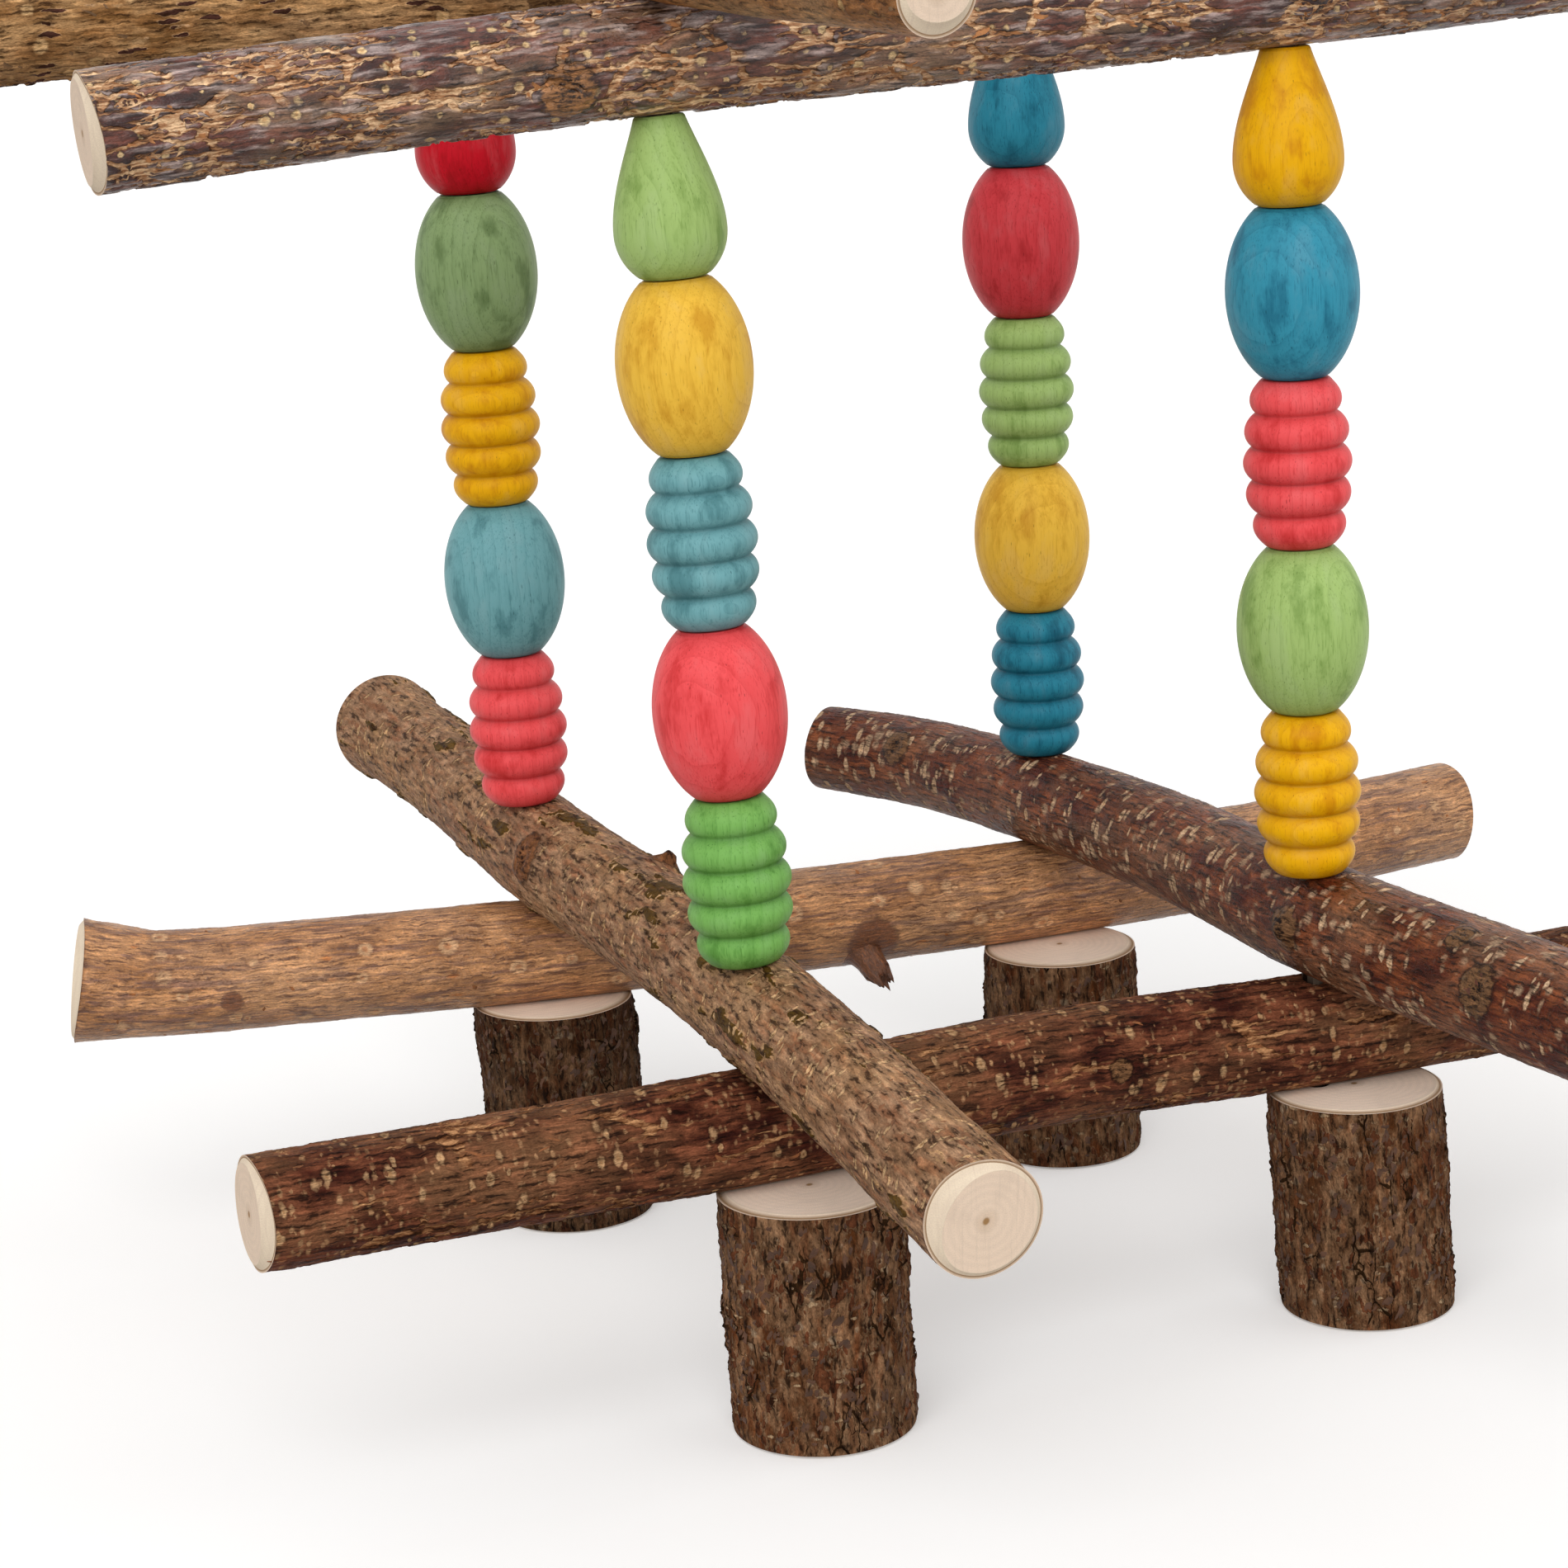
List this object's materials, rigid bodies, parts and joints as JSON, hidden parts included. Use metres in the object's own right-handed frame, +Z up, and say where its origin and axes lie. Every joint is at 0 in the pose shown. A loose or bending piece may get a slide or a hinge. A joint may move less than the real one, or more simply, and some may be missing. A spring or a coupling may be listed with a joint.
{
  "type": "parakeet climbing tower",
  "caption": "Climbing tower for small parrots: two decks of bark-covered branches on log feet, held apart by columns of dyed turned wooden beads that spin on rods.",
  "frame": {"origin": "middle of the box round the whole tower, on the surface that the log feet stand on", "axes": "+Z up, +X to the right and +Y to the back, seen from the front; the lower cross rails run along Y and the rails along X"},
  "size_m": [0.381, 0.417, 0.3278],
  "materials": {
    "foot_bark": "rough bark with pale cut faces",
    "tan_bark": "smooth bark with round lenticels",
    "dark_bark": "dark bark with pale dashes",
    "grey_bark": "grey flaking bark",
    "red_bark": "smooth red-brown bark with pale lenticels",
    "olive_bark": "furrowed olive-tan bark",
    "peeling_bark": "glossy dark bark with a papery peeling net",
    "pale_bark": "smooth pale bark",
    "dyed_red": "satin dye on turned beech",
    "dyed_blue": "satin dye on turned beech",
    "dyed_sky": "satin dye on turned beech",
    "dyed_yellow": "satin dye on turned beech",
    "dyed_green": "satin dye on turned beech",
    "dyed_sage": "satin dye on turned beech",
    "zinc_steel": "bright zinc"
  },
  "bodies": {
    "tower": {"lower_back_rail": "tan_bark", "lower_front_rail": "dark_bark", "lower_left_cross_rail": "grey_bark", "lower_right_cross_rail": "red_bark", "upper_back_rail": "olive_bark", "upper_front_rail": "peeling_bark", "upper_left_cross_rail": "pale_bark", "upper_right_cross_rail": "pale_bark", "foot_front_left": "foot_bark", "lower_washer_front_left": "zinc_steel", "lower_nut_front_left": "zinc_steel", "top_washer_front_left": "zinc_steel", "cap_nut_front_left": "zinc_steel", "rod_front_left": "zinc_steel", "foot_front_right": "foot_bark", "lower_washer_front_right": "zinc_steel", "lower_nut_front_right": "zinc_steel", "top_washer_front_right": "zinc_steel", "cap_nut_front_right": "zinc_steel", "rod_front_right": "zinc_steel", "foot_back_left": "foot_bark", "lower_washer_back_left": "zinc_steel", "lower_nut_back_left": "zinc_steel", "top_washer_back_left": "zinc_steel", "cap_nut_back_left": "zinc_steel", "rod_back_left": "zinc_steel", "foot_back_right": "foot_bark", "lower_washer_back_right": "zinc_steel", "lower_nut_back_right": "zinc_steel", "top_washer_back_right": "zinc_steel", "cap_nut_back_right": "zinc_steel", "rod_back_right": "zinc_steel"},
    "bead_front_left_1": {"bead_front_left_1_ribbed": "dyed_green"},
    "bead_front_left_2": {"bead_front_left_2_egg": "dyed_red"},
    "bead_front_left_3": {"bead_front_left_3_ribbed": "dyed_sky"},
    "bead_front_left_4": {"bead_front_left_4_egg": "dyed_yellow"},
    "bead_front_left_5": {"bead_front_left_5_pear": "dyed_green"},
    "bead_front_right_1": {"bead_front_right_1_ribbed": "dyed_yellow"},
    "bead_front_right_2": {"bead_front_right_2_egg": "dyed_green"},
    "bead_front_right_3": {"bead_front_right_3_ribbed": "dyed_red"},
    "bead_front_right_4": {"bead_front_right_4_egg": "dyed_blue"},
    "bead_front_right_5": {"bead_front_right_5_pear": "dyed_yellow"},
    "bead_back_left_1": {"bead_back_left_1_ribbed": "dyed_red"},
    "bead_back_left_2": {"bead_back_left_2_egg": "dyed_sky"},
    "bead_back_left_3": {"bead_back_left_3_ribbed": "dyed_yellow"},
    "bead_back_left_4": {"bead_back_left_4_egg": "dyed_sage"},
    "bead_back_left_5": {"bead_back_left_5_pear": "dyed_red"},
    "bead_back_right_1": {"bead_back_right_1_ribbed": "dyed_blue"},
    "bead_back_right_2": {"bead_back_right_2_egg": "dyed_yellow"},
    "bead_back_right_3": {"bead_back_right_3_ribbed": "dyed_green"},
    "bead_back_right_4": {"bead_back_right_4_egg": "dyed_red"},
    "bead_back_right_5": {"bead_back_right_5_pear": "dyed_blue"}
  },
  "joints": [
    {"name": "spin_front_left_1", "type": "hinge", "parent": "tower", "child": "bead_front_left_1", "pos_m": [-0.06319, -0.05925, 0.1016], "axis": [-0.037, 0.032, 0.9988], "continuous": true},
    {"name": "spin_front_left_2", "type": "hinge", "parent": "tower", "child": "bead_front_left_2", "pos_m": [-0.06449, -0.05813, 0.13682], "axis": [-0.037, 0.032, 0.9988], "continuous": true},
    {"name": "spin_front_left_3", "type": "hinge", "parent": "tower", "child": "bead_front_left_3", "pos_m": [-0.0658, -0.057, 0.17203], "axis": [-0.037, 0.032, 0.9988], "continuous": true},
    {"name": "spin_front_left_4", "type": "hinge", "parent": "tower", "child": "bead_front_left_4", "pos_m": [-0.0671, -0.05587, 0.20725], "axis": [-0.037, 0.032, 0.9988], "continuous": true},
    {"name": "spin_front_left_5", "type": "hinge", "parent": "tower", "child": "bead_front_left_5", "pos_m": [-0.0684, -0.05474, 0.24247], "axis": [-0.037, 0.032, 0.9988], "continuous": true},
    {"name": "spin_front_right_1", "type": "hinge", "parent": "tower", "child": "bead_front_right_1", "pos_m": [0.0676, -0.0595, 0.1017], "axis": [-0.0125, 0, 0.9999], "continuous": true},
    {"name": "spin_front_right_2", "type": "hinge", "parent": "tower", "child": "bead_front_right_2", "pos_m": [0.06715, -0.0595, 0.1377], "axis": [-0.0125, 0, 0.9999], "continuous": true},
    {"name": "spin_front_right_3", "type": "hinge", "parent": "tower", "child": "bead_front_right_3", "pos_m": [0.0667, -0.0595, 0.17371], "axis": [-0.0125, 0, 0.9999], "continuous": true},
    {"name": "spin_front_right_4", "type": "hinge", "parent": "tower", "child": "bead_front_right_4", "pos_m": [0.06625, -0.0595, 0.20971], "axis": [-0.0125, 0, 0.9999], "continuous": true},
    {"name": "spin_front_right_5", "type": "hinge", "parent": "tower", "child": "bead_front_right_5", "pos_m": [0.0658, -0.0595, 0.24572], "axis": [-0.0125, 0, 0.9999], "continuous": true},
    {"name": "spin_back_left_1", "type": "hinge", "parent": "tower", "child": "bead_back_left_1", "pos_m": [-0.06603, 0.08164, 0.1049], "axis": [-0.021, 0.008, 0.9997], "continuous": true},
    {"name": "spin_back_left_2", "type": "hinge", "parent": "tower", "child": "bead_back_left_2", "pos_m": [-0.06679, 0.08192, 0.14086], "axis": [-0.021, 0.008, 0.9997], "continuous": true},
    {"name": "spin_back_left_3", "type": "hinge", "parent": "tower", "child": "bead_back_left_3", "pos_m": [-0.06754, 0.08221, 0.17682], "axis": [-0.021, 0.008, 0.9997], "continuous": true},
    {"name": "spin_back_left_4", "type": "hinge", "parent": "tower", "child": "bead_back_left_4", "pos_m": [-0.0683, 0.0825, 0.21279], "axis": [-0.021, 0.008, 0.9997], "continuous": true},
    {"name": "spin_back_left_5", "type": "hinge", "parent": "tower", "child": "bead_back_left_5", "pos_m": [-0.06906, 0.08279, 0.24875], "axis": [-0.021, 0.008, 0.9997], "continuous": true},
    {"name": "spin_back_right_1", "type": "hinge", "parent": "tower", "child": "bead_back_right_1", "pos_m": [0.06687, 0.07899, 0.0995], "axis": [0.002, 0.009, 1], "continuous": true},
    {"name": "spin_back_right_2", "type": "hinge", "parent": "tower", "child": "bead_back_right_2", "pos_m": [0.06694, 0.07932, 0.13561], "axis": [0.002, 0.009, 1], "continuous": true},
    {"name": "spin_back_right_3", "type": "hinge", "parent": "tower", "child": "bead_back_right_3", "pos_m": [0.06701, 0.07964, 0.17172], "axis": [0.002, 0.009, 1], "continuous": true},
    {"name": "spin_back_right_4", "type": "hinge", "parent": "tower", "child": "bead_back_right_4", "pos_m": [0.06708, 0.07997, 0.20784], "axis": [0.002, 0.009, 1], "continuous": true},
    {"name": "spin_back_right_5", "type": "hinge", "parent": "tower", "child": "bead_back_right_5", "pos_m": [0.06716, 0.08029, 0.24395], "axis": [0.002, 0.009, 1], "continuous": true}
  ]
}
